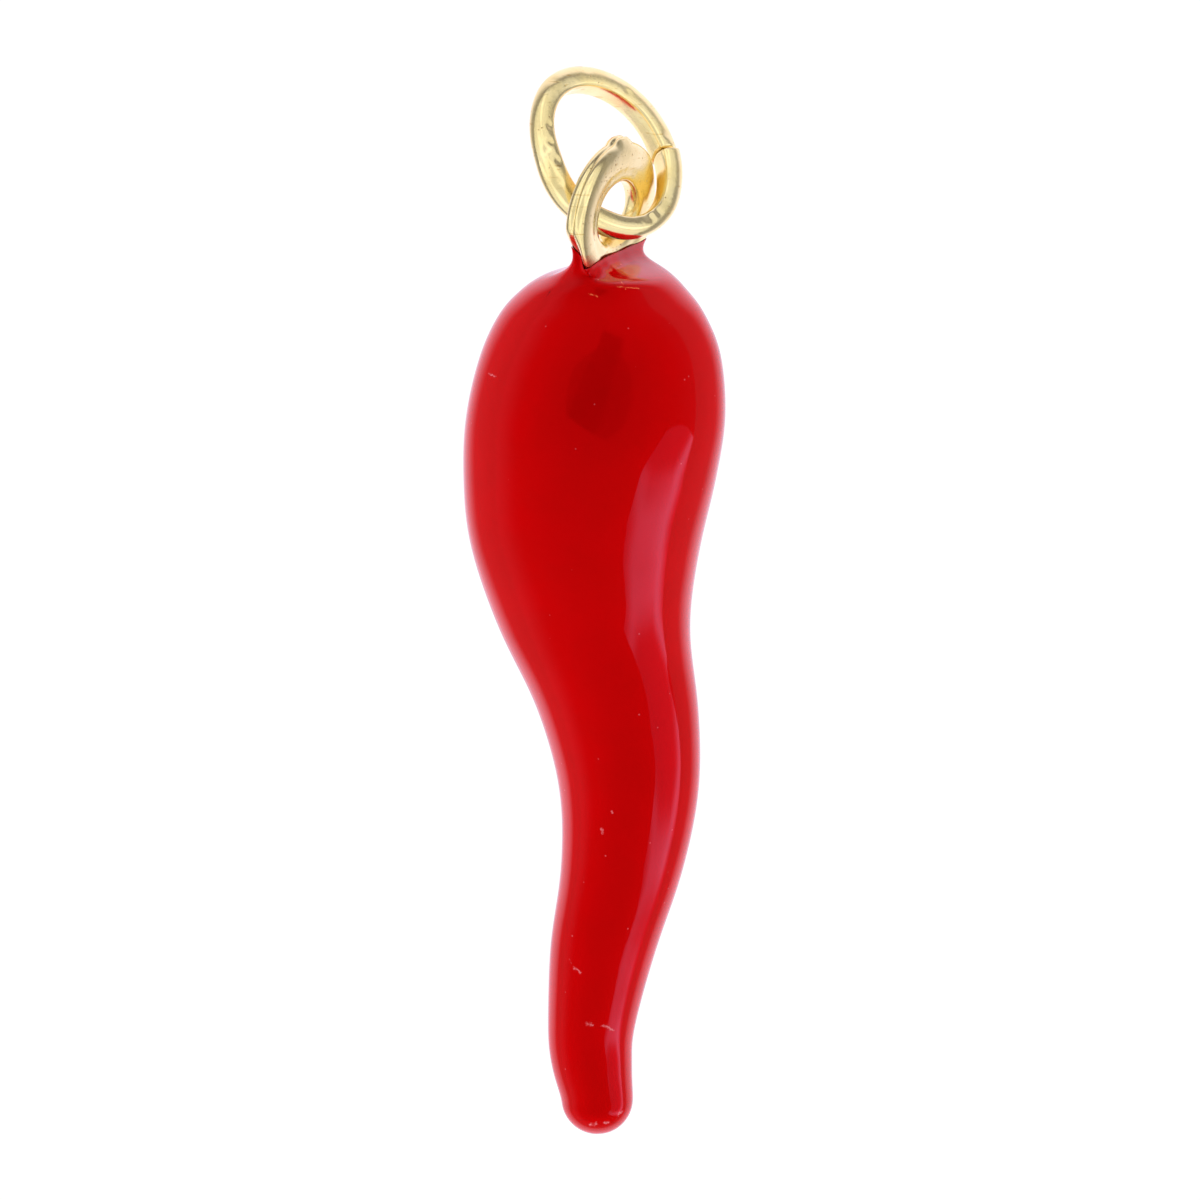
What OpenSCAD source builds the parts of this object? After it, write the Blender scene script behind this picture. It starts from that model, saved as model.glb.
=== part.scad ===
// Horn amulet pendant, lying on its side: a cast metal core with an eyelet at its neck,
// a skin of red enamel over the core, and an oval jump ring through the eyelet.
// Millimetres, +Z up. The eyelet's end points to +Y and the horn's tip to -Y.
// The origin is on the surface that the pendant lies on, under the middle of its box.

/* [Horn] */
// Length of the enamelled horn, from the enamel's edge at the neck to the tip
horn_length = 27.5; // [22:0.5:34]
// Width of the horn across its belly
horn_width = 7.74; // [6.8:0.02:9]
// Thickness of the horn through its belly
horn_depth = 6.7; // [5.8:0.1:8]
// Thickness of the enamel
enamel_thickness = 0.3; // [0.15:0.05:0.4]
// Gap between the enamel and the metal under it
enamel_gap = 0.02; // [0.01:0.01:0.05]

/* [Eyelet] */
// Thickness of the eyelet's plate
plate_thickness = 0.6; // [0.54:0.02:0.7]
// Rounding along the edges of the plate and of its hole
plate_rounding = 0.26; // [0.1:0.02:0.26]
// Width of the metal around the hole
eyelet_wall = 1.24; // [1:0.01:1.5]
// Distance from the hole's edge to the enamel's edge
eyelet_foot = 0.14; // [0.05:0.02:0.6]
// Turn of the plate around the horn's axis, from lying flat
plate_turn = 64; // [45:1:75]
// Lean of the plate away from the horn's length, seen from above
plate_lean = 6.5; // [0:0.5:12]
// Radius of the casting's nub at the top of the eyelet
nub_radius = 0.27; // [0.1:0.01:0.35]

/* [Jump ring] */
// Outside size of the ring across its short way
ring_width = 5.38; // [5:0.02:7]
// Outside size of the ring across its long way
ring_length = 5.7; // [5.4:0.02:7.4]
// Thickness of the wire in the plane of the ring
wire_width = 0.8; // [0.6:0.02:1]
// Thickness of the wire along the ring's axis
wire_height = 0.76; // [0.6:0.02:1]
// Gap where the ring is cut
split_gap = 0.08; // [0.04:0.01:0.2]
// Step between the ring's two ends, along its axis
end_step = 0.24; // [0:0.01:0.4]
// Clearance that the wire needs in the eyelet's hole
wire_clearance = 0.05; // [0.03:0.01:0.15]
// Angle between the planes of the ring and of the eyelet
ring_opening = 43.5; // [40:0.5:60]

/* [Hidden] */
$fn = 64;

GOLD = "#e3c878";
ENAMEL = "#b4070d";

// Columns of the horn's table of sections
ALONG = 0; // place along the horn, from the enamel's edge at 0 to the tip at 1, of horn_length
SIDE = 1; // middle of the section to the side, of horn_width
LIFT = 2; // height of the section's middle, of horn_depth
HALF = 3; // half of its width, of horn_width
DEEP = 4; // half of its thickness, of horn_depth
TURN = 5; // how far it is turned with the eyelet's plate, of plate_turn
SKIN = 6; // thickness of the enamel there, of enamel_thickness
CORNER = 7; // power of its outline: 2 is an ellipse, and more is squarer
HORN = [
  [0.000, 0.048, 0.499, 0.284, 0.073, 1.0, 0.35, 4.0],
  [0.012, 0.055, 0.499, 0.265, 0.120, 1.0, 0.60, 2.7],
  [0.022, 0.046, 0.499, 0.264, 0.250, 0.9, 0.90, 2.1],
  [0.038, 0.034, 0.500, 0.313, 0.322, 0.3, 1.00, 2.0],
  [0.065, 0.028, 0.506, 0.391, 0.392, 0.0, 1.00, 2.0],
  [0.110, 0.023, 0.513, 0.462, 0.462, 0.0, 1.00, 2.0],
  [0.176, 0.005, 0.518, 0.500, 0.500, 0.0, 1.00, 2.0],
  [0.245, -0.018, 0.488, 0.487, 0.488, 0.0, 1.00, 2.0],
  [0.325, -0.035, 0.451, 0.442, 0.447, 0.0, 1.00, 2.0],
  [0.416, -0.002, 0.408, 0.370, 0.378, 0.0, 1.00, 2.0],
  [0.508, 0.088, 0.365, 0.314, 0.324, 0.0, 1.00, 2.0],
  [0.600, 0.134, 0.322, 0.271, 0.284, 0.0, 1.00, 2.0],
  [0.692, 0.107, 0.279, 0.238, 0.252, 0.0, 1.00, 2.0],
  [0.783, 0.040, 0.236, 0.208, 0.222, 0.0, 1.00, 2.0],
  [0.875, -0.005, 0.193, 0.170, 0.182, 0.0, 1.00, 2.0],
  [0.920, -0.004, 0.172, 0.157, 0.168, 0.0, 1.00, 2.0],
  [0.960, 0.016, 0.153, 0.140, 0.153, 0.0, 1.00, 2.0],
];
SECTION_SIDES = 32;
SECTION_STEPS = 3; // rings of the mesh for each row of the table
CAP_STEPS = 6; // rings of the mesh over the tip's round end

// The least radius of a hole that the wire passes at its slant is widened by this share,
// which lets the ring lie to one side of the hole
HOLE_ROOM = 1.38;
// Place of the wire in the hole, across the plate and along the horn, of the hole's radius
WIRE_SEAT = [-0.33, -0.33];
RING_SWING = 123; // direction in the plate in which the ring opens from it
RING_PHASE = 120.5; // place around the ring where it passes the eyelet
OVAL_TURN = -55; // from there to the ring's short way
SPLIT_TURN = 109.5; // from there to the ring's cut
RING_STEPS = 72;
WIRE_SIDES = 12;
END_BEND = 3; // power by which the wire's ends step apart: more keeps it to the ends
INNER_POWER = 0.8; // power of the wire's outline towards the ring's middle: 1 is round, and less is flatter
NUB_SINK = 0.33; // depth of the nub's middle in the plate's edge, of its radius
CUT_MARGIN = 1; // how far a cutting shape reaches past what it cuts

wire_slant = acos(sin(ring_opening) * sin(RING_PHASE));
// Half of the straight part of the plate's edge, between its two roundings
plate_flat = plate_thickness / 2 - plate_rounding;
wire_hole = (wire_width / 2 + wire_clearance) / cos(wire_slant) + plate_flat * tan(wire_slant);
hole_radius = HOLE_ROOM * wire_hole;
eyelet_radius = hole_radius + eyelet_wall;
eyelet_rise = hole_radius + eyelet_foot;

function turn_y(p, a) = [p.x * cos(a) + p.z * sin(a), p.y, p.z * cos(a) - p.x * sin(a)];

function turn_z(p, a) = [p.x * cos(a) - p.y * sin(a), p.x * sin(a) + p.y * cos(a), p.z];

// A smooth curve through the rows: the row at place u, where whole numbers are the rows themselves
function smooth(a, b, c, d, t) =
  b + (c - a) * t / 2 + (2 * a - 5 * b + 4 * c - d) * t * t / 2 + (3 * b - a - 3 * c + d) * t * t * t / 2;

function row_at(rows, u) =
  let (
    last = len(rows) - 1,
    i = min(floor(u), last - 1),
    before = i == 0 ? 2 * rows[0] - rows[1] : rows[i - 1],
    after = i + 2 > last ? 2 * rows[last] - rows[last - 1] : rows[i + 2]
  )
    smooth(before, rows[i], rows[i + 1], after, u - i);

// One point of a section's outline, in the plane across the horn
function outline_point(half, deep, turn, corner, a) =
  let (
    q = [cos(a - turn), sin(a - turn)],
    reach = pow(pow(abs(q.x), corner) + pow(abs(q.y), corner), -1 / corner),
    p = [q.x * reach * half, q.y * reach * deep]
  )
    [p.x * cos(turn) - p.y * sin(turn), p.x * sin(turn) + p.y * cos(turn)];

// Ring of points at a row, with the surface set in from the enamel's outside by sink,
// and pulled towards the tip's end by the angle cap
function section(row, sink, cap = 0) =
  let (
    half = (row[HALF] * horn_width - sink) * cos(cap),
    deep = (row[DEEP] * horn_depth - sink) * cos(cap),
    y = -row[ALONG] * horn_length - (row[HALF] * horn_width - sink) * sin(cap)
  )
    [
      for (i = [0:SECTION_SIDES - 1])
        let (p = outline_point(half, deep, -plate_turn * row[TURN], row[CORNER], 360 * i / SECTION_SIDES))
          [row[SIDE] * horn_width + p.x, y, row[LIFT] * horn_depth + p.y]
    ];

// How far a surface lies under the enamel's outside: the enamel's thickness and a gap beside it
function sink_of(row, gap) = row[SKIN] * enamel_thickness + gap;

// Rings from the enamel's edge to the tip. A skin of 0 gives the enamel's outside.
function horn_rings(skin, gap) =
  let (last = len(HORN) - 1, tip = HORN[last])
    [
      for (i = [0:last * SECTION_STEPS])
        let (row = row_at(HORN, i / SECTION_STEPS)) section(row, skin * sink_of(row, gap)),
      for (i = [1:CAP_STEPS - 1])
        section(tip, skin * sink_of(tip, gap), 90 * i / CAP_STEPS),
    ];

function tip_point(skin, gap) =
  let (tip = HORN[len(HORN) - 1], round = tip[HALF] * horn_width - skin * sink_of(tip, gap))
    [tip[SIDE] * horn_width, -tip[ALONG] * horn_length - round, tip[LIFT] * horn_depth];

// Faces between ring a and ring b of n points each, seen from outside when b follows a
function band(a, b, n) = [
  for (i = [0:n - 1])
    let (j = (i + 1) % n)
      each [[a + i, b + i, a + j], [a + j, b + i, b + j]],
];

// The bands between count rings of n points each, the first of which starts at point first
function bands(first, count, n) =
  [for (r = [0:count - 2]) each band(first + r * n, first + (r + 1) * n, n)];

function fan(ring, apex, n) = [for (i = [0:n - 1]) [ring + i, apex, ring + (i + 1) % n]];

function flip(faces) = [for (f = faces) [f[0], f[2], f[1]]];

// From the plate's own frame, with its hole at the origin, to the part's frame at the horn's neck:
// x runs across the plate, y away from the horn, and z out of its face
neck = [HORN[0][SIDE] * horn_width, 0, HORN[0][LIFT] * horn_depth];

function on_plate(p) = neck + turn_z(turn_y(p + [0, eyelet_rise, 0], plate_turn), -plate_lean);

// Distance from the middle of the ring to the middle of its wire, at an angle from the eyelet
function ring_reach(a) =
  let (short = (ring_width - wire_width) / 2, long = (ring_length - wire_width) / 2)
    short * long / norm([long * cos(a - OVAL_TURN), short * sin(a - OVAL_TURN)]);

// A point of the ring's own frame, whose x axis points to the eyelet, in the plate's frame
function ring_on_plate(p) = turn_z(turn_y(turn_z(p, RING_PHASE), ring_opening), RING_SWING);

ring_middle = hole_radius * [WIRE_SEAT[0], WIRE_SEAT[1], 0] - ring_on_plate([ring_reach(0), 0, 0]);

function on_ring(p) = on_plate(ring_middle + ring_on_plate(p));

// Section of the wire, round outside and a little flat towards the middle of the ring
function wire_point(a) =
  let (across = cos(a) < 0 ? -pow(-cos(a), INNER_POWER) : cos(a))
    [wire_width / 2 * across, wire_height / 2 * sin(a)];

function ring_points() =
  let (half_cut = split_gap / 2 / ring_reach(SPLIT_TURN) * 180 / PI)
    [
      for (i = [0:RING_STEPS])
        let (
          share = i / RING_STEPS,
          a = SPLIT_TURN + half_cut + (360 - 2 * half_cut) * share,
          side = 2 * share - 1,
          step = sign(side) * pow(abs(side), END_BEND) * end_step / 2
        )
          for (j = [0:WIRE_SIDES - 1])
            let (w = wire_point(360 * j / WIRE_SIDES), out = ring_reach(a) + w.x)
              on_ring([out * cos(a), out * sin(a), w.y + step]),
    ];

// The pendant is moved as a whole so that it lies on z = 0 with the origin under its middle
outside_points = [for (ring = horn_rings(0, 0)) each ring];
reach_points = concat(outside_points, [tip_point(0, 0)], ring_points());

function lows(k) = min([for (p = reach_points) p[k]]);

function highs(k) = max([for (p = reach_points) p[k]]);

place = [-(lows(0) + highs(0)) / 2, -(lows(1) + highs(1)) / 2, -lows(2)];

function placed(points) = [for (p = points) p + place];

module at_eyelet() {
  translate(place + neck) rotate([0, 0, -plate_lean]) rotate([0, plate_turn, 0])
    translate([0, eyelet_rise, 0]) children();
}

// What a corner loses where it is rounded, with the rounding's middle at the origin
module corner_cut() {
  difference() {
    square(plate_rounding + CUT_MARGIN);
    circle(plate_rounding);
  }
}

// Profile of the plate for turning, from the hole's edge to the outer edge
module plate_profile() {
  half_wall = eyelet_wall / 2;
  translate([hole_radius + half_wall, 0]) difference() {
    square([eyelet_wall, plate_thickness], center = true);
    for (quarter = [[1, 1], [-1, 1], [-1, -1], [1, -1]])
      scale(quarter) translate([half_wall - plate_rounding, plate_flat]) corner_cut();
  }
}

// Metal core of the horn, with its neck inside the eyelet's plate
module core() {
  rings = horn_rings(1, enamel_gap);
  count = len(rings);
  n = SECTION_SIDES;
  points = [for (ring = rings) each ring];
  apex = count * n;
  lid = [for (i = [0:n - 1]) i];
  polyhedron(
    placed(concat(points, [tip_point(1, enamel_gap)])),
    concat([lid], bands(0, count, n), fan((count - 1) * n, apex, n))
  );
}

module eyelet() {
  at_eyelet() {
    rotate_extrude() plate_profile();
    translate([0, eyelet_radius - NUB_SINK * nub_radius, 0]) sphere(nub_radius);
  }
}

module horn_casting() {
  color(GOLD) {
    core();
    eyelet();
  }
}

module enamel_coat() {
  outer = horn_rings(0, 0);
  inner = horn_rings(1, 0);
  count = len(outer);
  n = SECTION_SIDES;
  points = concat(
    [for (ring = outer) each ring], [tip_point(0, 0)],
    [for (ring = inner) each ring], [tip_point(1, 0)]
  );
  under = count * n + 1;
  color(ENAMEL) polyhedron(
    placed(points),
    concat(
      bands(0, count, n), fan((count - 1) * n, count * n, n),
      flip(bands(under, count, n)), flip(fan(under + (count - 1) * n, under + count * n, n)),
      band(under, 0, n)
    )
  );
}

module jump_ring() {
  n = WIRE_SIDES;
  end = RING_STEPS * n;
  color(GOLD) polyhedron(
    placed(ring_points()),
    concat(
      flip(bands(0, RING_STEPS + 1, n)),
      [[for (j = [n - 1:-1:0]) j], [for (j = [0:n - 1]) end + j]]
    )
  );
}

horn_casting();
enamel_coat();
jump_ring();
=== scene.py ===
import bmesh
import bpy
import math
from collections import namedtuple
from mathutils import Matrix, Vector, noise
from mathutils.geometry import intersect_point_line


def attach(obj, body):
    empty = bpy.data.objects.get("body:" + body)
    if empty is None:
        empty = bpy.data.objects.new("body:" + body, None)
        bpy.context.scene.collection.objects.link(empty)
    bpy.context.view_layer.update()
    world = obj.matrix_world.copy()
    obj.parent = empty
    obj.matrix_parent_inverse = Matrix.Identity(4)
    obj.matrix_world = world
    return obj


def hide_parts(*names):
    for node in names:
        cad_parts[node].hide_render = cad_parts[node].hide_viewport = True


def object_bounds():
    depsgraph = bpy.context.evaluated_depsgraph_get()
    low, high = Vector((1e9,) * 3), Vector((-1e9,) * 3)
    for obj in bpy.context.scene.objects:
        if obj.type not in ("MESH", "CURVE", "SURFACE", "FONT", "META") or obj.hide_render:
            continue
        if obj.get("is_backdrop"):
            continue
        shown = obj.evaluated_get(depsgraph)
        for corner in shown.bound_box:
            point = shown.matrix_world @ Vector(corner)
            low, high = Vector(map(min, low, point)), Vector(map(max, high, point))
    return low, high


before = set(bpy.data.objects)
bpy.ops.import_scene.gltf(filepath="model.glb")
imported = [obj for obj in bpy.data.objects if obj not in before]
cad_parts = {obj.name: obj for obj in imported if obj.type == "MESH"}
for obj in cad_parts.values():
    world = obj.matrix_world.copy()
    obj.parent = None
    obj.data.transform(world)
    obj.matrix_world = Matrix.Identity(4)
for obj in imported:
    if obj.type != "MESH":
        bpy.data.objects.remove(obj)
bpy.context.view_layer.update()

# The casting: the horn's core with the eyelet at its neck, cast in one piece of zinc alloy in a
# two part mould and plated in pale yellow gold. The enamel hides all of it but the eyelet, whose
# rim keeps the mould's parting line and the nub where the metal was fed in.
MM = 0.001  # shapes are drawn in millimetres, and materials read metres
HORN_LENGTH, HORN_WIDTH, HORN_DEPTH = 27.5, 7.74, 6.7
HORN_PLACE = Vector((0.005, 11.114, 0.007))  # where the horn's sections are measured from
HOLE_PLACE = Vector((0.519, 12.368, 3.351))
PLATE_TURN, PLATE_LEAN = math.radians(64), math.radians(6.5)
ENAMEL, ENAMEL_GAP = 0.3, 0.02  # the enamel's full thickness, and its gap to the core

# A section of the horn: its place along the length, its middle to the side and its height, half of
# its width and of its thickness, all as shares of the horn's size, then how far it turns with the
# eyelet's plate, the share of the enamel's full thickness, and how square its outline is
Section = namedtuple("Section", "along side lift half deep turn skin corner")
HORN = (
    Section(0.000, 0.048, 0.499, 0.284, 0.073, 1.0, 0.35, 4.0),
    Section(0.012, 0.055, 0.499, 0.265, 0.120, 1.0, 0.60, 2.7),
    Section(0.022, 0.046, 0.499, 0.264, 0.250, 0.9, 0.90, 2.1),
    Section(0.038, 0.034, 0.500, 0.313, 0.322, 0.3, 1.00, 2.0),
    Section(0.065, 0.028, 0.506, 0.391, 0.392, 0.0, 1.00, 2.0),
    Section(0.110, 0.023, 0.513, 0.462, 0.462, 0.0, 1.00, 2.0),
    Section(0.176, 0.005, 0.518, 0.500, 0.500, 0.0, 1.00, 2.0),
    Section(0.245, -0.018, 0.488, 0.487, 0.488, 0.0, 1.00, 2.0),
    Section(0.325, -0.035, 0.451, 0.442, 0.447, 0.0, 1.00, 2.0),
    Section(0.416, -0.002, 0.408, 0.370, 0.378, 0.0, 1.00, 2.0),
    Section(0.508, 0.088, 0.365, 0.314, 0.324, 0.0, 1.00, 2.0),
    Section(0.600, 0.134, 0.322, 0.271, 0.284, 0.0, 1.00, 2.0),
    Section(0.692, 0.107, 0.279, 0.238, 0.252, 0.0, 1.00, 2.0),
    Section(0.783, 0.035, 0.236, 0.208, 0.222, 0.0, 1.00, 2.0),
    Section(0.875, -0.013, 0.193, 0.170, 0.182, 0.0, 1.00, 2.0),
    Section(0.920, -0.011, 0.172, 0.157, 0.168, 0.0, 1.00, 2.0),
    Section(0.960, 0.010, 0.153, 0.140, 0.153, 0.0, 1.00, 2.0),
)
RINGS_PER_SECTION = 4
CAP_RINGS = 8
WAVES, WAVE_HEIGHT = 9, 0.025  # the soft waves of the hand finished skin


def section_at(u):
    """The horn's section at place u, on a smooth curve through the sections at whole numbers."""
    i = min(int(u), len(HORN) - 2)
    t = u - i
    b, c = HORN[i], HORN[i + 1]
    a = HORN[i - 1] if i else [2 * p - q for p, q in zip(b, c)]
    d = HORN[i + 2] if i + 2 < len(HORN) else [2 * q - p for p, q in zip(b, c)]
    return Section(
        *(
            q
            + (r - p) * t / 2
            + (2 * p - 5 * q + 4 * r - s) * t**2 / 2
            + (3 * q - p - 3 * r + s) * t**3 / 2
            for p, q, r, s in zip(a, b, c, d)
        )
    )


def on_section(section, sink, cap, angle):
    """A point round a section, sunk by sink under the enamel's outside. Cap is how far round the
    horn's round end it is, from 0 at the section to a right angle at the tip."""
    around = Vector((WAVES * section.along, math.cos(angle), math.sin(angle)))
    sink -= WAVE_HEIGHT * noise.noise(around)
    turn = PLATE_TURN * section.turn
    x, z = math.cos(angle + turn), math.sin(angle + turn)
    reach = (abs(x) ** section.corner + abs(z) ** section.corner) ** (-1 / section.corner)
    x *= reach * (section.half * HORN_WIDTH - sink) * math.cos(cap)
    z *= reach * (section.deep * HORN_DEPTH - sink) * math.cos(cap)
    across = x * math.cos(turn) + z * math.sin(turn)
    up = z * math.cos(turn) - x * math.sin(turn)
    end = (section.half * HORN_WIDTH - sink) * math.sin(cap)
    return HORN_PLACE + Vector(
        (
            section.side * HORN_WIDTH + across,
            -section.along * HORN_LENGTH - end,
            section.lift * HORN_DEPTH + up,
        )
    )


def extruded(bm, edges):
    """Extrudes an open ring of edges and returns the new ring's vertices and edges."""
    made = bmesh.ops.extrude_edge_only(bm, edges=edges)["geom"]
    ring = [v for v in made if isinstance(v, bmesh.types.BMVert)]
    return ring, [e for e in made if isinstance(e, bmesh.types.BMEdge) and e.is_boundary]


def edges_of(ring):
    """The edges of a closed ring of vertices, each once and in order."""
    return list(dict.fromkeys(e for v in ring for e in v.link_edges))


def draw_horn(bm, sides, under, gap, settle, first=0):
    """Draws the horn's skin ring by ring from section first and closes it at the tip. Under is 0
    for the enamel's outside and 1 for its inside, and settle draws each point to the eyelet's
    plate. Returns the edges at the open end."""
    angle_of = bm.verts.layers.float.get("angle") or bm.verts.layers.float.new("angle")
    ring = bmesh.ops.create_circle(bm, segments=sides, radius=1)["verts"]
    for v in ring:
        v[angle_of] = math.atan2(v.co.y, v.co.x)
    neck = edges = edges_of(ring)
    last = len(HORN) - 1
    steps = range(first * RINGS_PER_SECTION, last * RINGS_PER_SECTION + 1)
    stops = [(i / RINGS_PER_SECTION, 0) for i in steps]
    stops += [(last, math.pi / 2 * i / CAP_RINGS) for i in range(1, CAP_RINGS)]
    for u, cap in stops:
        if u > first:
            ring, edges = extruded(bm, edges)
        section = section_at(u)
        sink = under * (section.skin * ENAMEL + gap)
        for v in ring:
            v.co = on_section(section, sink, cap, v[angle_of])
            v.co = settle(v.co, u, v[angle_of], under, gap)
    ring, edges = extruded(bm, edges)
    tip = sum((v.co for v in ring), Vector()) / len(ring)
    tip.y = HORN_PLACE.y - HORN[last].along * HORN_LENGTH - HORN[last].half * HORN_WIDTH + sink
    bmesh.ops.pointmerge(bm, verts=ring, merge_co=tip)
    return neck


def new_piece(name, bm, smooth=True):
    """Makes an object of a bmesh drawn in millimetres, with its place in its mesh."""
    bmesh.ops.scale(bm, vec=(MM, MM, MM), verts=bm.verts)
    mesh = bpy.data.meshes.new(name)
    bm.to_mesh(mesh)
    bm.free()
    if smooth:
        mesh.shade_smooth()
    else:
        mesh.shade_flat()
    piece = bpy.data.objects.new(name, mesh)
    bpy.context.scene.collection.objects.link(piece)
    return piece


def add_subdivision(piece):
    """Rounds a piece, to the same level on the screen and in the render."""
    modifier = piece.modifiers.new("round", "SUBSURF")
    modifier.levels = modifier.render_levels = 1


def smooth_step(start, end, value):
    """0 before start and 1 after end, and a smooth rise between them. End may be the lower."""
    share = min(max((value - start) / (end - start), 0), 1)
    return share * share * (3 - 2 * share)


CORE_SIDES = 48
EYELET_STEPS = 144
PLATE_HALF = 0.33  # half of the plate's thickness
HOLE_RADIUS, RIM_RADIUS = 1.122, 2.362
# The casting isn't a true disc. These are shares of one: the rim's width on the left, on the right
# and at the neck and its height at the top, then the hole's width, its height at the top and at
# the bottom in front, and at the bottom behind on the left and on the right.
PLATE_WIDE, PLATE_WIDE_RIGHT, NECK_WIDE, PLATE_TALL = 1.12, 1.125, 0.80, 0.905
HOLE_WIDE, HOLE_TALL, HOLE_LOW, HOLE_BACK, HOLE_BACK_RIGHT = 1.16, 0.83, 0.94, 0.66, 0.42
BACK_TURNS = (-0.5, 0.3)  # where, across the plate, the left's share behind turns to the right's
# The heights from the hole's middle between which the rim draws in to the neck. Its front corner on
# the left stays wide, and these are the places in the thickness between which that ends.
DRAWN_LEFT, DRAWN_RIGHT = (-0.2, -1.3), (-0.5, -1.5)
CORNER_KEPT = (PLATE_HALF, -0.1)
GROOVE_HALF, GROOVE_DEPTH = 0.05, 0.07  # the mould's parting line on the rim
DISH_WIDTH, DISH_DEPTH = 0.46, 0.06  # the shallow ring pressed around the hole
NUB_HALF, NUB_SLOPE, NUB_HEIGHT = 0.18, 0.36, 0.165
NUB_FROM = 0.8  # the share of the way from the hole to the rim at which the nub starts
NUB_FADES = (0.26, 0.12)  # in the thickness, where the nub ends in front and where it is full
FACE_SLOPE = 0.12  # how far the front face falls away to the right rim
FALLS_ACROSS, FALLS_ALONG = (1.5, 2.5), (-0.9, -0.1)  # where it falls, from the hole's middle
UNEVEN, UNEVEN_PLACE = 0.008, 1.3  # how far the casting's surface wanders, and how soon
# The plate's wall cut through, from the hole to the rim, as distance from the hole's middle and
# height in the plate's thickness, anticlockwise
PLATE_PROFILE = (
    (HOLE_RADIUS + 0.02, -0.10),
    (HOLE_RADIUS + 0.10, -PLATE_HALF + 0.05),
    (HOLE_RADIUS + 0.20, -PLATE_HALF),
    (RIM_RADIUS - 0.22, -PLATE_HALF),
    (RIM_RADIUS - 0.07, -PLATE_HALF + 0.06),
    (RIM_RADIUS, -PLATE_HALF + 0.20),
    (RIM_RADIUS, -GROOVE_HALF),
    (RIM_RADIUS - GROOVE_DEPTH, 0),
    (RIM_RADIUS, GROOVE_HALF),
    (RIM_RADIUS, PLATE_HALF - 0.20),
    (RIM_RADIUS - 0.07, PLATE_HALF - 0.06),
    (RIM_RADIUS - 0.22, PLATE_HALF),
    (HOLE_RADIUS + DISH_WIDTH + 0.04, PLATE_HALF),
    (HOLE_RADIUS + DISH_WIDTH - 0.04, PLATE_HALF - DISH_DEPTH),
    (HOLE_RADIUS + 0.14, PLATE_HALF - DISH_DEPTH),
    (HOLE_RADIUS + 0.04, PLATE_HALF - DISH_DEPTH - 0.06),
    (HOLE_RADIUS, 0.08),
)
plate_frame = (
    Matrix.Translation(HOLE_PLACE)
    @ Matrix.Rotation(-PLATE_LEAN, 4, "Z")
    @ Matrix.Rotation(PLATE_TURN, 4, "Y")
)


def rim_width(height, side, depth):
    """How much wider than a disc the plate's rim is at a height from the hole's middle. It draws in
    to the neck, sooner on the left, but not at the front corner there."""
    if side > 0:
        wide, drawn = PLATE_WIDE_RIGHT, smooth_step(*DRAWN_RIGHT, height)
    else:
        wide, drawn = PLATE_WIDE, smooth_step(*DRAWN_LEFT, height)
        drawn *= smooth_step(*CORNER_KEPT, depth)
    return wide + (NECK_WIDE - wide) * drawn


# How far the enamel stays off the plate's face and rim, and how thick its edge is on each
CLEAR, RIM_CLEAR = 0.011, 0.025
LIP, RIM_LIP = 0.018, 0.008
RIM_CORNER = 0.20  # how round the plate's corners are under the enamel
SETTLED = 2.2  # the section at which the skin has left the plate
LEAST_ROOM = 0.04  # keeps the skin open where it runs past the disc's lower end
# The enamel's edge on the plate's front and back, as place across the plate and along the horn
# from the hole's middle. It reaches lowest at the front corner of the rim.
EDGE_END = 2.2
FRONT_EDGE = (
    (-EDGE_END, -1.45), (-1.2, -1.27), (-0.65, -1.18), (0.1, -1.13), (0.95, -1.06),
    (EDGE_END, -0.97),
)
BACK_EDGE = ((-EDGE_END, -0.86), (-1.2, -1.12), (0.0, -1.24), (1.0, -1.14), (EDGE_END, -0.97))
EDGE_WAVE, EDGE_WAVE_PLACE = 0.02, Vector((3.1, 2.3, 0.5))  # how far it wavers, and how soon


def along_edge(edge, across):
    """The height of an edge given as points, at a place across the plate."""
    for (x0, y0), (x1, y1) in zip(edge, edge[1:]):
        if across <= x1:
            break
    return y0 + (y1 - y0) * smooth_step(x0, x1, across)


def settle_on_plate(point, u, angle, under, gap):
    """Draws the skin's upper end on to the eyelet's plate, where it ends along a wavy edge."""
    if u >= SETTLED:
        return point
    turned = angle + PLATE_TURN
    x, z = math.cos(turned), math.sin(turned)
    x, z = x / max(abs(x), abs(z)), z / max(abs(x), abs(z))
    front = smooth_step(-1, 1, z)
    edge = front * along_edge(FRONT_EDGE, EDGE_END * x)
    edge += (1 - front) * along_edge(BACK_EDGE, EDGE_END * x)
    edge += EDGE_WAVE * noise.noise(EDGE_WAVE_PLACE * Vector((x, z, 1)))
    edge -= section_at(u).along * HORN_LENGTH
    disc = RIM_RADIUS * math.sqrt(max(1 - (edge / RIM_RADIUS) ** 2, LEAST_ROOM))
    half = disc * rim_width(edge, x, z * PLATE_HALF) + RIM_CLEAR - gap
    thick = PLATE_HALF + CLEAR - gap + LIP * (1 - under)
    out, up = x * (half + RIM_LIP * (1 - under)), z * thick
    # the plate's corners are round
    corner = RIM_CORNER + CLEAR - gap
    inner_out = math.copysign(min(abs(out), abs(half) - corner), out)
    inner_up = math.copysign(min(abs(up), thick - corner), up)
    if inner_out != out and inner_up != up:
        away = Vector((out - inner_out, up - inner_up)).normalized() * corner
        out, up = inner_out + away.x, inner_up + away.y
    on_plate = plate_frame @ Vector((out, edge, up))
    return point.lerp(on_plate, smooth_step(SETTLED, 0, u))


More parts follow.
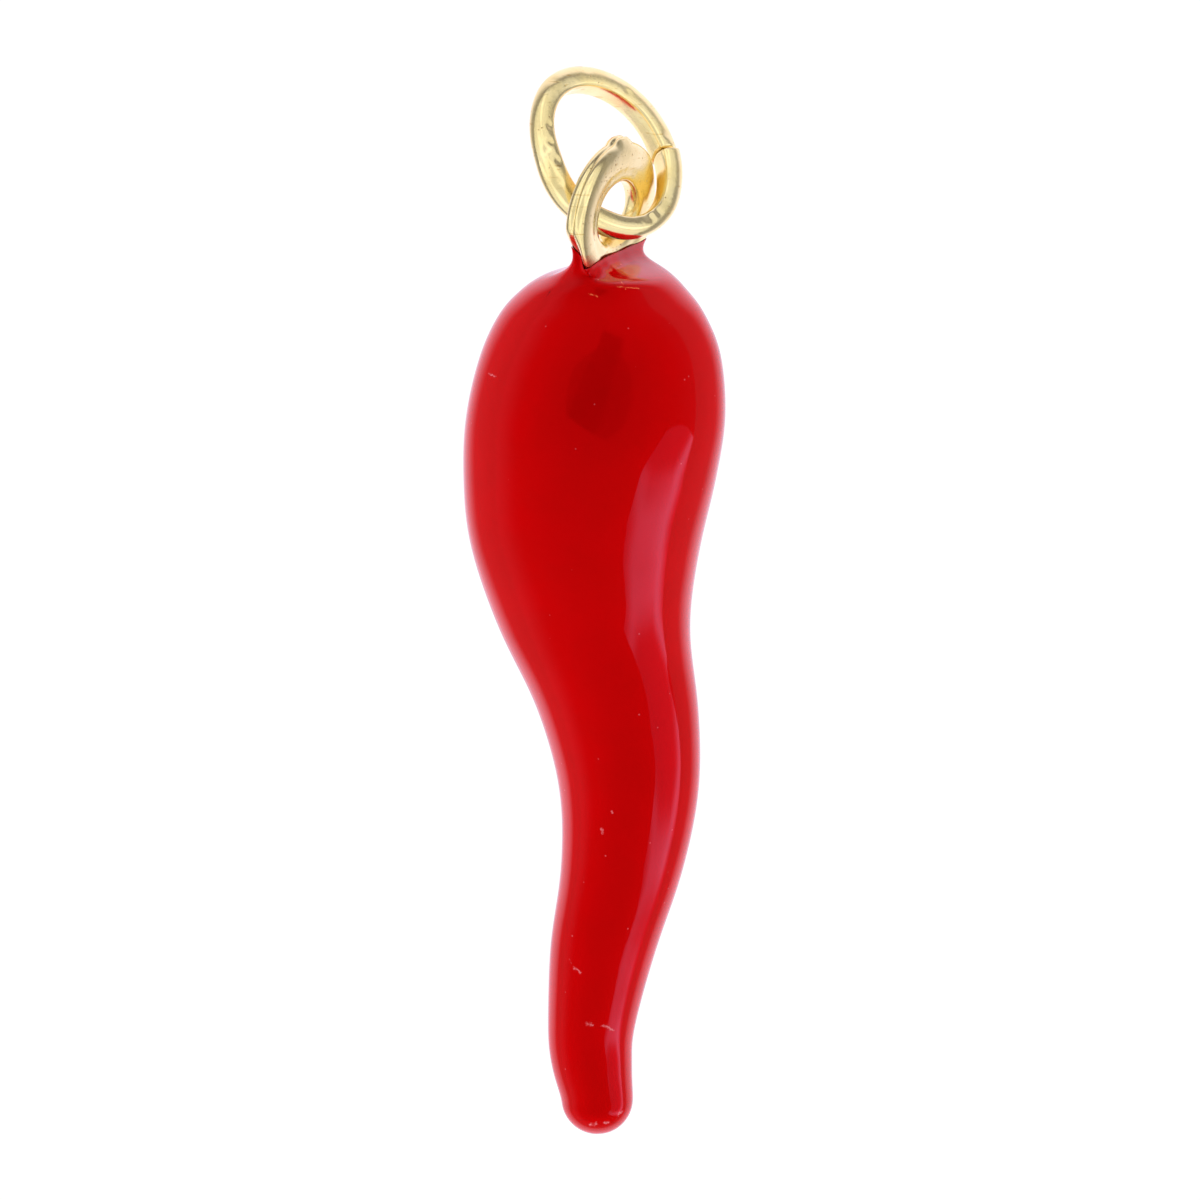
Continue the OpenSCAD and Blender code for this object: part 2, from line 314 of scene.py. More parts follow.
bm = bmesh.new()
corners = [bm.verts.new((r, 0, z)) for r, z in PLATE_PROFILE]
outline = [bm.edges.new((a, b)) for a, b in zip(corners, corners[1:] + corners[:1])]
bmesh.ops.spin(
    bm, geom=corners + outline, cent=(0, 0, 0), axis=(0, 0, 1),
    angle=math.tau, steps=EYELET_STEPS, use_merge=True,
)
bmesh.ops.remove_doubles(bm, verts=bm.verts, dist=0.001)
bmesh.ops.recalc_face_normals(bm, faces=bm.faces)
for v in bm.verts:
    out = (v.co.xy.length - HOLE_RADIUS) / (RIM_RADIUS - HOLE_RADIUS)
    round_rim = math.atan2(v.co.x, v.co.y) * RIM_RADIUS
    v.co.x *= HOLE_WIDE + (rim_width(v.co.y, v.co.x, v.co.z) - HOLE_WIDE) * out
    if v.co.y > 0:
        v.co.y *= HOLE_TALL + (PLATE_TALL - HOLE_TALL) * out
    else:
        # the hole's lower wall slopes up to the back
        back = HOLE_BACK + (HOLE_BACK_RIGHT - HOLE_BACK) * smooth_step(*BACK_TURNS, v.co.x)
        low = back + (HOLE_LOW - back) * smooth_step(-PLATE_HALF, PLATE_HALF, v.co.z)
        v.co.y *= low + (1 - low) * out
    if out > NUB_FROM:
        shape = smooth_step(NUB_HALF + NUB_SLOPE, NUB_HALF, abs(round_rim))
        v.co.y += NUB_HEIGHT * shape * smooth_step(*NUB_FADES, v.co.z)
    if v.co.z > 0:
        slope = smooth_step(*FALLS_ACROSS, v.co.x) * smooth_step(*FALLS_ALONG, v.co.y)
        v.co.z -= FACE_SLOPE * slope * v.co.z / PLATE_HALF
    v.co += UNEVEN * noise.noise_vector(v.co * UNEVEN_PLACE)
bmesh.ops.transform(bm, matrix=plate_frame, verts=bm.verts)
cast_eyelet = new_piece("cast_eyelet", bm)
add_subdivision(cast_eyelet)

bm = bmesh.new()
top = draw_horn(bm, CORE_SIDES, 1, ENAMEL_GAP, settle_on_plate, first=1)
bmesh.ops.contextual_create(bm, geom=top)
bmesh.ops.recalc_face_normals(bm, faces=bm.faces)
core = new_piece("core", bm)
union = cast_eyelet.modifiers.new("core", "BOOLEAN")
union.operation = "UNION"
union.object = core
cast_eyelet.data = bpy.data.meshes.new_from_object(
    cast_eyelet.evaluated_get(bpy.context.evaluated_depsgraph_get())
)
cast_eyelet.modifiers.clear()
bpy.data.objects.remove(core)


def add_node(tree, kind, inputs=(), **settings):
    """Adds a node. Each of its inputs is given a value, or another node's output to link."""
    node = tree.nodes.new(kind)
    for name, value in settings.items():
        setattr(node, name, value)
    for name, value in dict(inputs).items():
        if isinstance(value, bpy.types.NodeSocket):
            tree.links.new(value, node.inputs[name])
        else:
            node.inputs[name].default_value = value
    return node


def worked_out(tree, operation, *values, **settings):
    """The outcome of one sum on numbers."""
    return add_node(
        tree, "ShaderNodeMath", enumerate(values), operation=operation, **settings
    ).outputs[0]


def worked_out_vector(tree, operation, *values, outcome="Vector"):
    """The outcome of one sum on vectors: a Vector, or a number under the name Value."""
    return add_node(
        tree, "ShaderNodeVectorMath", enumerate(values), operation=operation
    ).outputs[outcome]


def smooth_rise(tree, value, start, end, low=0.0, high=1.0):
    """A smooth rise from low at start to high at end, as smooth_step gives for a shape."""
    return add_node(
        tree, "ShaderNodeMapRange",
        {"Value": value, "From Min": start, "From Max": end, "To Min": low, "To Max": high},
        interpolation_type="SMOOTHSTEP",
    ).outputs[0]


def mixed(tree, share, first, second):
    """A colour between two, by a share that varies over the surface."""
    mix = add_node(tree, "ShaderNodeMix", {0: share, 6: first, 7: second}, data_type="RGBA")
    return mix.outputs[2]


def new_group(name, inputs, outputs):
    """Makes a shader node group with its two end nodes, from the names and kinds of its sockets."""
    group = bpy.data.node_groups.new(name, "ShaderNodeTree")
    for in_out, sockets in (("INPUT", inputs), ("OUTPUT", outputs)):
        for label, kind in sockets.items():
            group.interface.new_socket(
                name=label, in_out=in_out, socket_type=f"NodeSocket{kind}"
            )
    return group, add_node(group, "NodeGroupInput"), add_node(group, "NodeGroupOutput")


# Fine wear, as shares from 0 to 1 over the surface: a broad uneven tone, small round pits in some
# places and hair scratches that run one way. The place is in metres.
fine_wear, given, result = new_group(
    "fine_wear",
    {"Place": "Vector", "Pitted": "Float"},
    {"Tone": "Float", "Pits": "Float", "Scratches": "Float"},
)
place = given.outputs["Place"]
broad = add_node(
    fine_wear, "ShaderNodeTexNoise", {"Vector": place, "Scale": 800, "Detail": 5}
)
tone = smooth_rise(fine_wear, broad.outputs["Fac"], 0.35, 0.65)
cells = add_node(fine_wear, "ShaderNodeTexVoronoi", {"Vector": place, "Scale": 9000})
chance = add_node(fine_wear, "ShaderNodeSeparateColor", {"Color": cells.outputs["Color"]})
chosen = worked_out(
    fine_wear, "GREATER_THAN", given.outputs["Pitted"], chance.outputs["Red"]
)
dot = smooth_rise(fine_wear, cells.outputs["Distance"], 0.34, 0.12)
pits = worked_out(fine_wear, "MULTIPLY", dot, chosen)
combed = add_node(
    fine_wear, "ShaderNodeMapping",
    {"Vector": place, "Rotation": (0.4, 0.3, 0.9), "Scale": (700, 14000, 4000)},
)
hairs = add_node(
    fine_wear, "ShaderNodeTexNoise", {"Vector": combed.outputs[0], "Scale": 1, "Detail": 1}
)
scratches = smooth_rise(fine_wear, hairs.outputs["Fac"], 0.66, 0.74)
fine_wear.links.new(tone, result.inputs["Tone"])
fine_wear.links.new(pits, result.inputs["Pits"])
fine_wear.links.new(scratches, result.inputs["Scratches"])

# One mark along a straight stroke with a ragged edge: 1 on the stroke and 0 a width away from it
stroke, given, result = new_group(
    "stroke",
    {"Place": "Vector", "Start": "Vector", "End": "Vector", "Width": "Float"},
    {"Mark": "Float"},
)
place, width = given.outputs["Place"], given.outputs["Width"]
start, end = given.outputs["Start"], given.outputs["End"]
ragged = add_node(stroke, "ShaderNodeTexNoise", {"Vector": place, "Scale": 9000})
centred = worked_out_vector(stroke, "SUBTRACT", ragged.outputs["Color"], (0.5, 0.5, 0.5))
reach = worked_out_vector(stroke, "MULTIPLY", centred, width)
moved = worked_out_vector(stroke, "MULTIPLY_ADD", reach, (3, 3, 3), place)
way = worked_out_vector(stroke, "SUBTRACT", end, start)
off = worked_out_vector(stroke, "SUBTRACT", moved, start)
along = worked_out_vector(stroke, "DOT_PRODUCT", off, way, outcome="Value")
whole = worked_out_vector(stroke, "DOT_PRODUCT", way, way, outcome="Value")
share = worked_out(stroke, "DIVIDE", along, whole, use_clamp=True)
foot = worked_out_vector(stroke, "MULTIPLY_ADD", way, share, start)
away = worked_out_vector(stroke, "DISTANCE", moved, foot, outcome="Value")
stroke.links.new(smooth_rise(stroke, away, width, 0.0), result.inputs["Mark"])


def add_strokes(tree, place, strokes, frame_of=Matrix()):
    """The largest of several strokes' marks. Each is a start, an end and a width in millimetres."""
    marks = None
    for start, end, width in strokes:
        one = add_node(
            tree, "ShaderNodeGroup",
            {
                "Place": place,
                "Start": MM * (frame_of @ Vector(start)),
                "End": MM * (frame_of @ Vector(end)),
                "Width": MM * width,
            },
            node_tree=stroke,
        ).outputs["Mark"]
        marks = worked_out(tree, "MAXIMUM", marks, one) if marks else one
    return marks


# Where the mould left the casting porous, and the one deep pit beside the nub, on the plate
POROUS = (
    ((-1.37, 0.80, 0.3), (-1.0, 1.35, 0.3), 0.42),
    ((-1.0, 1.35, 0.3), (-0.5, 1.6, 0.3), 0.36),
)
DEEP_PIT = (((-0.45, 2.22, 0.05), (-0.42, 2.24, 0.08), 0.09),)

gold = bpy.data.materials.new("gold_plate")
gold.use_nodes = True
tree = gold.node_tree
shader = tree.nodes["Principled BSDF"]
place = add_node(tree, "ShaderNodeTexCoord").outputs["Object"]
pitted = worked_out(
    tree, "MULTIPLY_ADD", add_strokes(tree, place, POROUS, plate_frame), 0.9, 0.05
)
worn = add_node(
    tree, "ShaderNodeGroup", {"Place": place, "Pitted": pitted}, node_tree=fine_wear
).outputs
pits = worked_out(
    tree, "MAXIMUM", worn["Pits"], add_strokes(tree, place, DEEP_PIT, plate_frame)
)
colour = mixed(tree, worn["Tone"], (0.95, 0.80, 0.44, 1), (0.92, 0.75, 0.36, 1))
colour = mixed(tree, worn["Scratches"], colour, (0.80, 0.58, 0.24, 1))
colour = mixed(tree, pits, colour, (0.50, 0.34, 0.13, 1))
tree.links.new(colour, shader.inputs["Base Color"])
shader.inputs["Metallic"].default_value = 1
dull = worked_out(tree, "MULTIPLY_ADD", worn["Tone"], 0.08, 0.18)
dull = worked_out(tree, "MULTIPLY_ADD", pits, 0.25, dull)
tree.links.new(dull, shader.inputs["Roughness"])
sunk = worked_out(tree, "MULTIPLY_ADD", worn["Scratches"], 0.3, pits)
ripple = add_node(
    tree, "ShaderNodeTexNoise", {"Vector": place, "Scale": 2600, "Detail": 3}
).outputs["Fac"]
lifted = worked_out(tree, "MULTIPLY_ADD", sunk, -0.5, ripple)
dented = add_node(
    tree, "ShaderNodeBump", {"Height": lifted, "Strength": 0.18, "Distance": 0.00004}
)
tree.links.new(dented.outputs["Normal"], shader.inputs["Normal"])
cast_eyelet.data.materials.append(gold)
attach(cast_eyelet, "root")
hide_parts("horn_casting")

# The enamel: a thick gloss coat of deep red resin enamel that the horn is dipped in and baked. It
# runs a little way up the eyelet's plate, where it ends in a thin wavy lip.
ENAMEL_SIDES = 96

bm = bmesh.new()
outer = draw_horn(bm, ENAMEL_SIDES, 0, 0, settle_on_plate)
inner = draw_horn(bm, ENAMEL_SIDES, 1, 0, settle_on_plate)
bmesh.ops.bridge_loops(bm, edges=outer + inner)
bmesh.ops.recalc_face_normals(bm, faces=bm.faces)
enamel_coat = new_piece("enamel_skin", bm)
add_subdivision(enamel_coat)

# Small marks on the upper side, as start, end and width: pale nicks under the gloss, partly real
# and partly painted highlights where they catch the light, a dark hairline, scratches below the
# neck and pale specks in the tip that paint its speckled reflection
PALE_NICKS_AND_GLINTS = (
    ((0.24, -6.28, 3.74), (0.24, -6.46, 3.71), 0.06),
    ((0.54, -5.72, 3.94), (0.55, -5.76, 3.94), 0.05),
    ((-0.75, -10.57, 2.68), (-0.57, -10.83, 2.77), 0.035),
    ((-0.57, -10.83, 2.77), (-0.39, -10.93, 2.84), 0.06),
    ((-0.22, -12.58, 2.58), (-0.10, -12.60, 2.59), 0.08),
    ((0.24, -12.64, 2.57), (0.60, -12.84, 2.40), 0.055),
    ((-3.14, 7.78, 4.80), (-2.90, 7.74, 5.15), 0.035),
    ((-0.12, -15.90, 1.83), (0.05, -15.82, 1.86), 0.08),
    ((0.30, -15.80, 1.88), (0.42, -15.84, 1.88), 0.07),
    ((0.70, -15.62, 1.80), (0.86, -15.50, 1.78), 0.06),
    ((2.92, 1.01, 3.41), (2.96, 0.96, 3.36), 0.03),
    ((-0.96, -6.37, 2.31), (-0.94, -6.42, 2.29), 0.03),
)
NECK_SCRATCHES = (
    ((-0.17, 10.30, 5.40), (0.09, 10.22, 5.44), 0.035),
    ((0.68, 10.46, 5.21), (1.30, 10.37, 4.97), 0.030),
    ((0.80, 10.56, 4.99), (0.92, 10.38, 5.18), 0.028),
)
HAIRLINE = (((-1.24, 10.35, 4.85), (-1.45, 10.10, 4.96), 0.030),)

red = bpy.data.materials.new("red_enamel")
red.use_nodes = True
tree = red.node_tree
shader = tree.nodes["Principled BSDF"]
place = add_node(tree, "ShaderNodeTexCoord").outputs["Object"]
worn = add_node(
    tree, "ShaderNodeGroup", {"Place": place, "Pitted": 0.006}, node_tree=fine_wear
).outputs
# the pale marks: the pits and the listed nicks and specks, their paleness partly a painted
# highlight and, in the tip, a painted reflection
pale = worked_out(
    tree, "MULTIPLY_ADD", worn["Pits"], 0.5, add_strokes(tree, place, PALE_NICKS_AND_GLINTS),
    use_clamp=True,
)
bright = add_strokes(tree, place, NECK_SCRATCHES)
dark = add_strokes(tree, place, HAIRLINE)
colour = mixed(tree, worn["Tone"], (0.46, 0.0006, 0.0012, 1), (0.44, 0.0008, 0.0011, 1))
# the pale marks' colour, partly a painted highlight on the nicks
colour = mixed(tree, pale, colour, (0.62, 0.14, 0.16, 1))
colour = mixed(tree, bright, colour, (0.75, 0.16, 0.06, 1))
colour = mixed(tree, dark, colour, (0.10, 0.001, 0.002, 1))
tree.links.new(colour, shader.inputs["Base Color"])
dull = worked_out(tree, "MULTIPLY_ADD", worn["Tone"], 0.012, 0.016)
dull = worked_out(tree, "MULTIPLY_ADD", pale, 0.3, dull)
tree.links.new(dull, shader.inputs["Roughness"])
shader.inputs["IOR"].default_value = 1.5
orange_peel = add_node(
    tree, "ShaderNodeTexNoise", {"Vector": place, "Scale": 420, "Detail": 2}
).outputs["Fac"]
proud = worked_out(tree, "MULTIPLY_ADD", pale, 0.15, orange_peel)
rippled = add_node(
    tree, "ShaderNodeBump", {"Height": proud, "Strength": 0.25, "Distance": 0.00004}
)
tree.links.new(rippled.outputs["Normal"], shader.inputs["Normal"])
enamel_coat.data.materials.append(red)
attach(enamel_coat, "root")
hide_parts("enamel_coat")

# The jump ring: a length of brass wire, wound to an oval and cut once, gold plated like the
# casting. It is twisted open to hang in the eyelet, and closed with its ends a little out of line.
RING_SHORT, RING_LONG = 2.18, 2.50  # half of the oval, to the middle of the wire
WIRE_ACROSS, WIRE_HIGH = 0.40, 0.38  # half of the wire, in the ring's plane and along its axis
WIRE_FULL = 1.05  # the share of that size where nothing has worn the wire
RING_MIDDLE = Vector((0.9000, 1.4922, -0.8063))  # from the hole's middle, in the plate's frame
RING_SWING, RING_OPENING, RING_PHASE = math.radians(123), math.radians(43.5), math.radians(120.5)
OVAL_TURN, SPLIT_TURN = math.radians(-55), math.radians(109.5)
HALF_CUT, END_STEP = 0.025, 0.06  # half of the cut, and how far each end is out of line
END_BEND = 3  # how late before its end the wire bends there
# Where the oval isn't true: the turn from the ring's start and how far to each side, both in
# degrees, then how far the wire is pressed in and the share by which it is thinner. It is worn
# where the ring hangs in the eyelet.
DENTS = (
    (40, 72, 0.13, 0.19),
    (188, 50, 0.06, 0.0),
    (258, 52, -0.02, 0.13),
    (322, 42, -0.13, 0.0),
    (88, 26, 0.02, 0.03),
)
CUT_SKEW, SKEW_REACH = 0.32, 0.6  # how far the cut turns aside, and how far round it draws the wire
FLAT_CORNER, FLAT_REACH = 5, 0.82  # how square the wire's inside is, and how far it reaches in
# Dents that the pliers left: turn from the ring's start and round the wire from its outside, both
# in degrees, then how wide and how deep
NICKS = (
    (266, 100, 0.20, 0.035), (280, 85, 0.16, 0.04), (288, 60, 0.30, 0.03), (296, 95, 0.22, 0.04),
    (310, 60, 0.20, 0.035), (36, 105, 0.26, 0.035), (46, 105, 0.20, 0.03), (166, 105, 0.20, 0.03),
    (336, 5, 0.20, 0.03), (200, 60, 0.25, 0.02), (230, 40, 0.25, 0.02), (120, 80, 0.22, 0.025),
)
WIRE_SIDES, RING_STEPS = 32, 180
ring_frame = (
    plate_frame
    @ Matrix.Translation(RING_MIDDLE)
    @ Matrix.Rotation(RING_SWING, 4, "Z")
    @ Matrix.Rotation(RING_OPENING, 4, "Y")
    @ Matrix.Rotation(RING_PHASE, 4, "Z")
)


def wire_at(share):
    """The wire's frame at a share of its length from one end to the other."""
    cut = HALF_CUT / RING_LONG
    angle = SPLIT_TURN + cut + (math.tau - 2 * cut) * share
    long_part = RING_LONG * math.cos(angle - OVAL_TURN)
    short_part = RING_SHORT * math.sin(angle - OVAL_TURN)
    reach = RING_SHORT * RING_LONG / math.hypot(long_part, short_part)
    side = 2 * share - 1
    step = math.copysign(abs(side) ** END_BEND, side) * END_STEP
    size = WIRE_FULL
    for turn, spread, pressed, thinner in DENTS:
        near = smooth_step(spread, 0, abs(math.remainder(math.degrees(angle) - turn, 360)))
        reach -= pressed * near
        size -= thinner * near
    return (
        ring_frame
        @ Matrix.Rotation(angle, 4, "Z")
        @ Matrix.Translation((reach, 0, step))
        @ Matrix.Scale(size, 4)
    )


bm = bmesh.new()
start = bmesh.ops.create_circle(bm, segments=WIRE_SIDES, radius=1)["verts"]
bmesh.ops.rotate(bm, verts=start, matrix=Matrix.Rotation(math.pi / 2, 3, "X"))
for v in start:
    # the tool that the wire was wound on has pressed its inside flat
    if v.co.x < 0:
        reach = (abs(v.co.x) ** FLAT_CORNER + abs(v.co.z) ** FLAT_CORNER) ** (-1 / FLAT_CORNER)
        v.co.x *= reach * FLAT_REACH
        v.co.z *= reach
    v.co.x *= WIRE_ACROSS
    v.co.z *= WIRE_HIGH
edges = edges_of(start)
bmesh.ops.contextual_create(bm, geom=edges)
before = wire_at(0)
bmesh.ops.transform(bm, matrix=before, verts=start)
ring = start
for i in range(1, RING_STEPS + 1):
    ring, edges = extruded(bm, edges)
    after = wire_at(i / RING_STEPS)
    bmesh.ops.transform(bm, matrix=after @ before.inverted(), verts=ring)
    before = after
bmesh.ops.contextual_create(bm, geom=edges)
for turn, spot, wide, deep in NICKS:
    share = (math.radians(turn) - SPLIT_TURN) % math.tau / math.tau
    wire = wire_at(share)
    spot = math.radians(spot)
    middle = wire @ Vector((WIRE_ACROSS * math.cos(spot), 0, WIRE_HIGH * math.sin(spot)))
    inward = (wire.translation - middle).normalized()
    for v in bm.verts:
        v.co += inward * deep * smooth_step(wide, 0, (v.co - middle).length)
for v in bm.verts:
    # the cutter went through askew on the lower side
    place = ring_frame.inverted() @ v.co
    from_cut = math.remainder(math.atan2(place.y, place.x) - SPLIT_TURN, math.tau)
    near = smooth_step(SKEW_REACH, 0, abs(from_cut))
    v.co = ring_frame @ Matrix.Rotation(CUT_SKEW * near * min(place.z, 0), 4, "Z") @ place
bmesh.ops.recalc_face_normals(bm, faces=bm.faces)
wire_ring = new_piece("wire_ring", bm)
add_subdivision(wire_ring)
wire_ring.data.materials.append(gold)
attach(wire_ring, "root")
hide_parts("jump_ring")

# The studio: a white sweep under the pendant and a pale room round it. The enamel mirrors a dim
# ceiling with a grey opening and the dark camera in it, and one softbox low on the right. The
# gold has its own white lamps above and beside it, as a tent gives.
SWEEP_HALF, SWEEP_DROP = 3000, 0.03
bm = bmesh.new()
bmesh.ops.create_grid(bm, x_segments=1, y_segments=1, size=SWEEP_HALF)
bmesh.ops.translate(bm, vec=(0, 0, -SWEEP_DROP), verts=bm.verts)
floor = new_piece("white_sweep", bm)
white = bpy.data.materials.new("white_sweep")
white.use_nodes = True
tree = white.node_tree
shader = tree.nodes["Principled BSDF"]
shader.inputs["Base Color"].default_value = (0.06, 0.06, 0.06, 1)
shader.inputs["Roughness"].default_value = 1
shader.inputs["Specular IOR Level"].default_value = 0
# it glows rather than being lit, a painted light: the camera sees it white all over, and for the
# pendant its glow is a painted pool of light that dims with the distance, sooner across than along
place = add_node(tree, "ShaderNodeTexCoord").outputs["Object"]
across = worked_out_vector(tree, "MULTIPLY", place, (1, 0.3, 0))
away = worked_out_vector(tree, "LENGTH", across, outcome="Value")
dim = smooth_rise(tree, away, 0.0045, 0.0105, 1.0, 0.10)
seen = add_node(tree, "ShaderNodeLightPath").outputs
bounced = worked_out(tree, "MULTIPLY", seen["Is Diffuse Ray"], 1.3)
lit = worked_out(tree, "MAXIMUM", bounced, dim)
bright = worked_out(tree, "MAXIMUM", seen["Is Camera Ray"], lit)
tree.links.new(bright, shader.inputs["Emission Strength"])
tint = mixed(tree, seen["Is Camera Ray"], (1, 0.93, 1.12, 1), (1, 1, 1, 1))
tree.links.new(tint, shader.inputs["Emission Color"])
floor.data.materials.append(white)
floor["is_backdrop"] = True

CAMERA_TILT = math.radians(-12)
camera_frame = Matrix.Rotation(CAMERA_TILT, 4, "X")
enamel_only = bpy.data.collections.new("enamel_only")
enamel_only.objects.link(enamel_coat)
gold_only = bpy.data.collections.new("gold_only")
gold_only.objects.link(cast_eyelet)
gold_only.objects.link(wire_ring)


def facing(off_camera, round_camera):
    """The frame of something that faces the pendant, off_camera degrees away from the camera and
    round_camera degrees from the picture's right. Its x points further away from the camera."""
    return (
        camera_frame
        @ Matrix.Rotation(math.radians(round_camera), 4, "Z")
        @ Matrix.Rotation(math.radians(off_camera), 4, "Y")
    )


def hang_glow(name, bm):
    """Hangs a glowing surface that only the enamel mirrors, from a bmesh whose layer glow has its
    colours."""
    card = new_piece(name, bm, smooth=False)
    material = bpy.data.materials.new(name)
    material.use_nodes = True
    tree = material.node_tree
    tree.nodes.clear()
    colours = add_node(tree, "ShaderNodeVertexColor", layer_name="glow")
    glow = add_node(tree, "ShaderNodeEmission", {"Color": colours.outputs["Color"]})
    add_node(tree, "ShaderNodeOutputMaterial", {"Surface": glow.outputs["Emission"]})
    card.data.materials.append(material)
    card.visible_camera = card.visible_diffuse = False
    card.light_linking.receiver_collection = enamel_only
    card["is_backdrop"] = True


def hang_card(name, distance, corners, glows):
    """Hangs a flat card by the camera. Its corners are shares of its distance from the pendant, and
    each has its own brightness."""
    bm = bmesh.new()
    glow_of = bm.verts.layers.float_color.new("glow")
    verts = [bm.verts.new(distance * (overhead @ Vector((x, y, 1)))) for x, y in corners]
    for v, glow in zip(verts, glows):
        v[glow_of] = [glow * channel for channel in RED_GLOW] + [1]
    bm.faces.new(verts)
    hang_glow(name, bm)


def hang_lamp(name, distance, place, wide, radiance, receivers=None, mirrored=True, tall=None):
    """Hangs a soft lamp, its sides shares of its distance from the pendant. It is square unless
    tall is given."""
    lamp = bpy.data.lights.new(name, "AREA")
    lamp.shape = "RECTANGLE"
    lamp.size, lamp.size_y = (tall or wide) * distance * MM, wide * distance * MM
    lamp.energy = radiance * math.pi * lamp.size * lamp.size_y
    holder = bpy.data.objects.new(name, lamp)
    bpy.context.scene.collection.objects.link(holder)
    holder.matrix_world = Matrix.Translation(
        distance * MM * (place @ Vector((0, 0, 1)))
    ) @ place
    holder.visible_camera = False
    holder.visible_glossy = mirrored
    holder.light_linking.receiver_collection = receivers


# The colours of the ceiling and of the walls near the floor
RED_GLOW, PALE = (1, 0.006, 0.008), (1, 0.95, 1.16)
CEILING_REACH = 1000
bm = bmesh.new()
bmesh.ops.create_uvsphere(bm, u_segments=72, v_segments=72, radius=CEILING_REACH)
glow_of = bm.verts.layers.float_color.new("glow")
bmesh.ops.transform(bm, matrix=camera_frame, verts=bm.verts)
bmesh.ops.bisect_plane(
    bm, geom=bm.verts[:] + bm.edges[:] + bm.faces[:], plane_co=(0, 0, 1), plane_no=(0, 0, -1),
    clear_outer=True,
)
for v in bm.verts:
    # the ceiling is warm and dim, and the walls grow paler to the floor, most on the left
    side, height = v.co.x / CEILING_REACH, v.co.z / CEILING_REACH
    warm = 0.8 + 1.1 * smooth_step(0.05, 0.6, height)
    pale = 0.15 * smooth_step(0.45, -0.02, height) * (0.25 + 0.75 * smooth_step(0.6, -0.5, side))
    v[glow_of] = [warm * a + pale * b for a, b in zip(RED_GLOW, PALE)] + [1]
hang_glow("dim_ceiling", bm)
overhead = facing(0, 0)
hang_card(
    "grey_opening", 900,
    [(-1.5, 0.75), (-1.1, 0.05), (-0.5, -0.12), (-0.08, -0.35), (0.08, -0.45), (0.5, -1.02),
     (1.15, -0.75), (1.35, 0.1), (1.2, 1.0), (0.0, 1.15)],
    [1.2, 1.1, 0.8, 0.8, 0.5, 0.4, 0.4, 0.7, 0.9, 0.9],
)
hang_card(
    "camera_back", 700,
    [(-0.42, -0.12), (-0.02, -0.38), (0.12, -0.05), (0.38, 0.62), (0.02, 0.68)], [0.0] * 5,
)
# The softbox, all in shares of its distance. Its lower and upper edges are slanting, each with its
# slope and its height in the middle. It is brightest along a bent line, whose points each have
# their own brightness, and besides it glows evenly, in red most.
SOFTBOX_REACH, softbox_frame = 900, facing(80, -40)
BOX_LEFT, BOX_WIDE, BOX_TOP = -0.36, 0.68, 1.05
(LOW_SLOPE, LOW_HEIGHT), (HIGH_SLOPE, HIGH_HEIGHT) = (0.35, -0.17), (1.5, 0.88)
BRIGHT_LINE = (
    (Vector((-0.33, -0.17)), 0.35),
    (Vector((-0.18, -0.16)), 0.60),
    (Vector((0.0, -0.03)), 0.7),
    (Vector((0.14, 0.05)), 1.05),
    (Vector((0.20, 0.25)), 0.9),
    (Vector((0.26, 0.50)), 0.8),
)
LINE_WIDTH, EVEN_GLOW, RED_BESIDES = 0.075, 0.13, 1.7
bm = bmesh.new()
glow_of = bm.verts.layers.float_color.new("glow")
bmesh.ops.create_grid(bm, x_segments=32, y_segments=40, size=0.5)
for v in bm.verts:
    x = BOX_WIDE * (v.co.x + 0.5) + BOX_LEFT
    low_edge = LOW_SLOPE * x + LOW_HEIGHT
    high_edge = min(HIGH_SLOPE * x + HIGH_HEIGHT, BOX_TOP)
    point = Vector((x, low_edge + (high_edge - low_edge) * (v.co.y + 0.5)))
    glow = 0
    for (start, at_start), (end, at_end) in zip(BRIGHT_LINE, BRIGHT_LINE[1:]):
        share = min(max(intersect_point_line(point, start, end)[1], 0), 1)
        away = (point - start.lerp(end, share)).length
        there = at_start + (at_end - at_start) * share
        glow = max(glow, there * math.exp(-((away / LINE_WIDTH) ** 2)))
    glow += EVEN_GLOW
    v[glow_of] = (glow + RED_BESIDES, 0.85 * glow, 1.45 * glow, 1)
    v.co = SOFTBOX_REACH * (softbox_frame @ Vector((point.x, point.y, 1)))
hang_glow("low_softbox", bm)
for turn, radiance in ((0, 3.5), (60, 5.0), (120, 5.0), (180, 3.7), (240, 3.2), (300, 3.2)):
    hang_lamp(f"side_{turn}", 600, facing(90, turn), 1.1, radiance, mirrored=False)
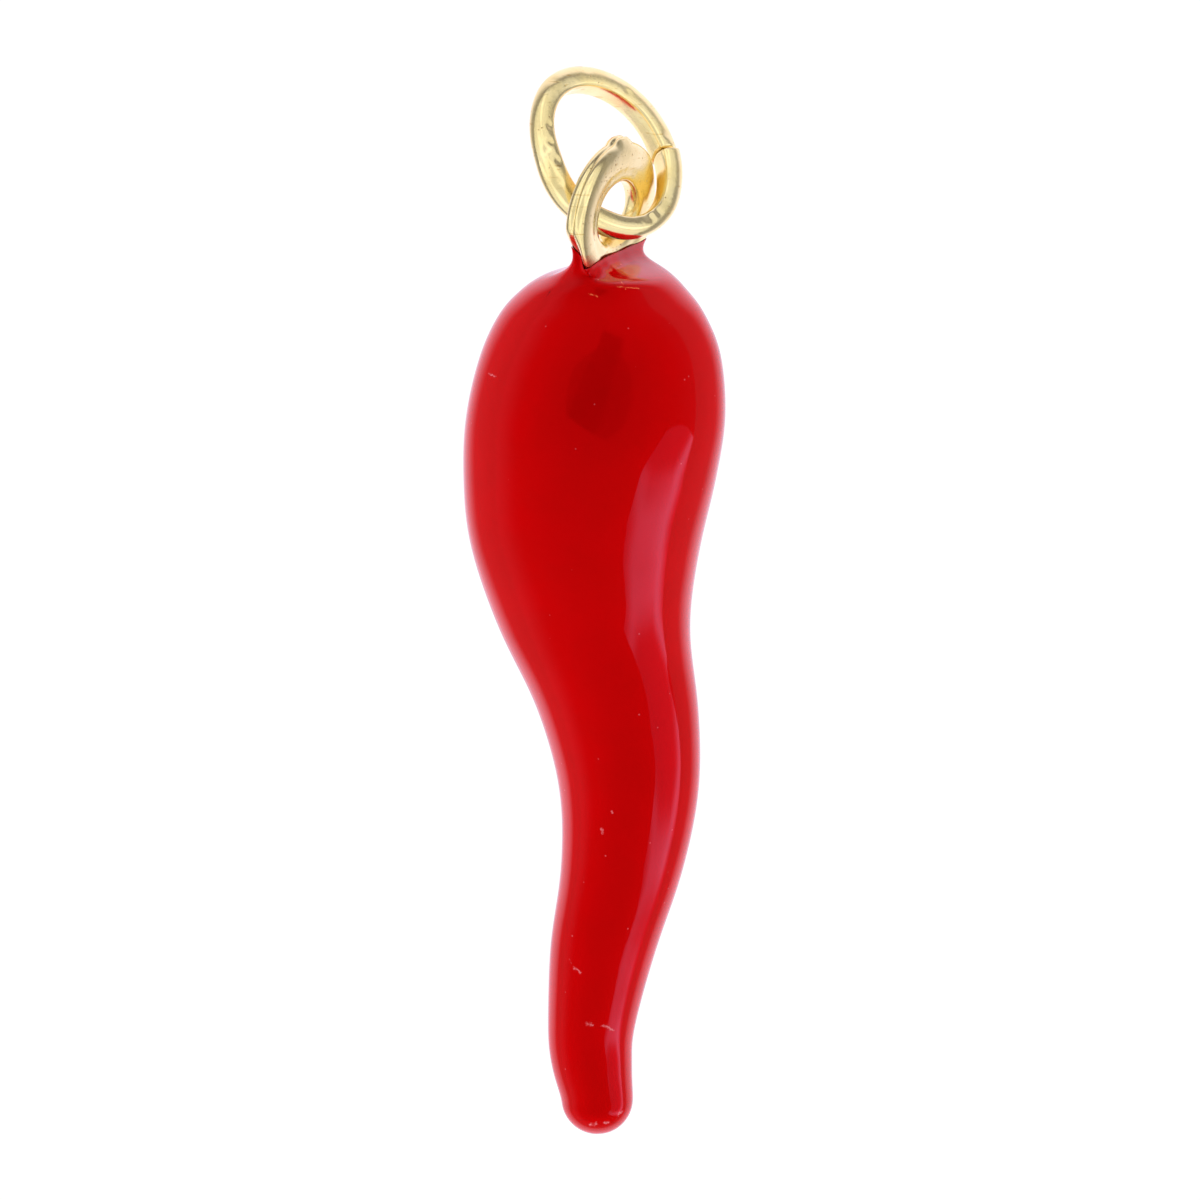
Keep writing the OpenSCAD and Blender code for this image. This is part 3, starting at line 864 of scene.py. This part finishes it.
hang_lamp("gold_top", 550, overhead, 2.2, 0.76, gold_only)
for turn in range(0, 360, 45):
    hang_lamp(f"gold_side_{turn}", 600, facing(86, turn), 0.84, 0.40, gold_only, tall=1.35)
for turn in range(45, 360, 90):
    hang_lamp(f"gold_fill_{turn}", 650, facing(75, turn), 2.6, 0.54, gold_only)
# the floor's light on the gold lies just over the sweep and faces up
hang_lamp("gold_floor", 0.02, Matrix.Rotation(math.pi, 4, "X"), 3000, 0.22, gold_only)

world = bpy.data.worlds.new("pale_room")
bpy.context.scene.world = world
world.use_nodes = True
tree = world.node_tree
background = tree.nodes["Background"]
background.inputs["Color"].default_value = (1, 0.95, 1.1, 1)
# the room is dim above and paler down to the floor, most on the left, and white to the camera
direction = add_node(tree, "ShaderNodeTexCoord").outputs["Generated"]
axes = add_node(tree, "ShaderNodeSeparateXYZ", {0: direction}).outputs
height = smooth_rise(tree, axes["Z"], 0.45, 0.0, 0.04, 0.36)
side = smooth_rise(tree, axes["X"], -0.5, 0.6, 1.0, 0.4)
room = worked_out(tree, "MULTIPLY", height, side)
seen = add_node(tree, "ShaderNodeLightPath").outputs["Is Camera Ray"]
backdrop = add_node(tree, "ShaderNodeMix", {"Factor": seen, "A": room, "B": 1.0})
tree.links.new(backdrop.outputs["Result"], background.inputs["Strength"])

# The camera stands almost straight above the pendant and looks a little back along the horn from
# beyond the eyelet. It is far off, so that the pendant shows with hardly any perspective.
CAMERA_DISTANCE, LENS, SENSOR = 400, 401.6, 36
LOOK_AT = Vector((0.165, 0.454, 2.6))
camera_data = bpy.data.cameras.new("camera")
camera_data.sensor_width = SENSOR
camera_data.lens = LENS
camera_data.clip_start = 0.01
camera = bpy.data.objects.new("camera", camera_data)
bpy.context.scene.collection.objects.link(camera)
camera.location = (LOOK_AT + camera_frame @ Vector((0, 0, CAMERA_DISTANCE))) * MM
camera.rotation_euler = (CAMERA_TILT, 0, 0)
bpy.context.scene.camera = camera
bpy.context.scene.view_settings.view_transform = "Standard"

bpy.context.view_layer.update()
low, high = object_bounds()
